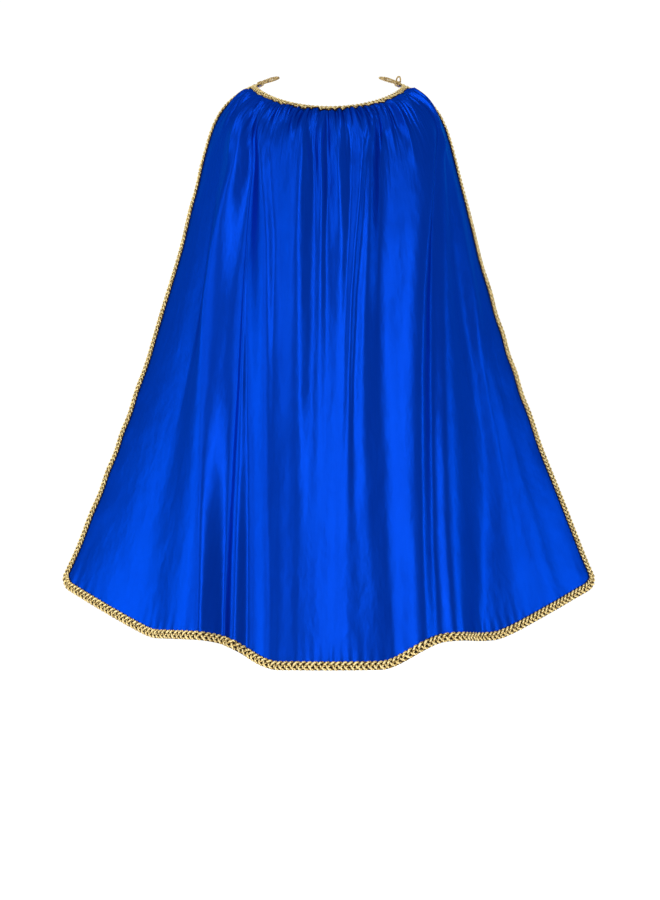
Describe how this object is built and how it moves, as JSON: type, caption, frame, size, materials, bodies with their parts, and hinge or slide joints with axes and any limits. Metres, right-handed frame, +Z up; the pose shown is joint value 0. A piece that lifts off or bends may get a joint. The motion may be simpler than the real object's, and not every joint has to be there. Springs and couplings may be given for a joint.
{
  "type": "costume cape",
  "caption": "Child's flared satin shoulder cape, gathered to a curved neckline, edged all round with gold braid and hung from a cord loop at each shoulder corner.",
  "frame": {"origin": "midway between the two shoulder corners, where the wearer's shoulders hold the cape", "axes": "+Z up, +X to the wearer's right, +Y the way the wearer faces, so the outer face looks towards -Y"},
  "size_m": [0.6234, 0.2275, 0.6835],
  "materials": {
    "satin": "bright royal-blue polyester satin",
    "gold_braid": "metallic gold gimp braid",
    "gold_cord": "twisted metallic gold cord",
    "lining": "matt woven blue tape"
  },
  "bodies": {
    "neckline": {"satin_top": "satin", "neck_braid": "gold_braid", "left_edge_braid_top": "gold_braid", "right_edge_braid_top": "gold_braid", "neck_stay_tape": "lining", "left_corner_tab": "lining", "right_corner_tab": "lining", "left_loop_binding": "gold_cord", "right_loop_binding": "gold_cord", "right_loop_bow": "gold_cord"},
    "skirt": {"satin_skirt": "satin", "left_edge_braid": "gold_braid", "right_edge_braid": "gold_braid", "hem_braid": "gold_braid"},
    "left_loop_body": {"left_loop": "gold_cord"},
    "right_loop_body": {"right_loop": "gold_cord"}
  },
  "joints": [
    {"name": "skirt_swing", "type": "hinge", "parent": "neckline", "child": "skirt", "pos_m": [0, -0.0885, -0.0798], "axis": [-1, 0, 0], "range_deg": [0, 45]},
    {"name": "left_loop_turn", "type": "hinge", "parent": "neckline", "child": "left_loop_body", "pos_m": [-0.07759, 0.01063, 0.00531], "axis": [0.8318, -0.5523, -0.0556], "range_deg": [0, 90]},
    {"name": "right_loop_turn", "type": "hinge", "parent": "neckline", "child": "right_loop_body", "pos_m": [0.07759, 0.01063, 0.00531], "axis": [0.8318, 0.5523, 0.0556], "range_deg": [0, 90]}
  ]
}
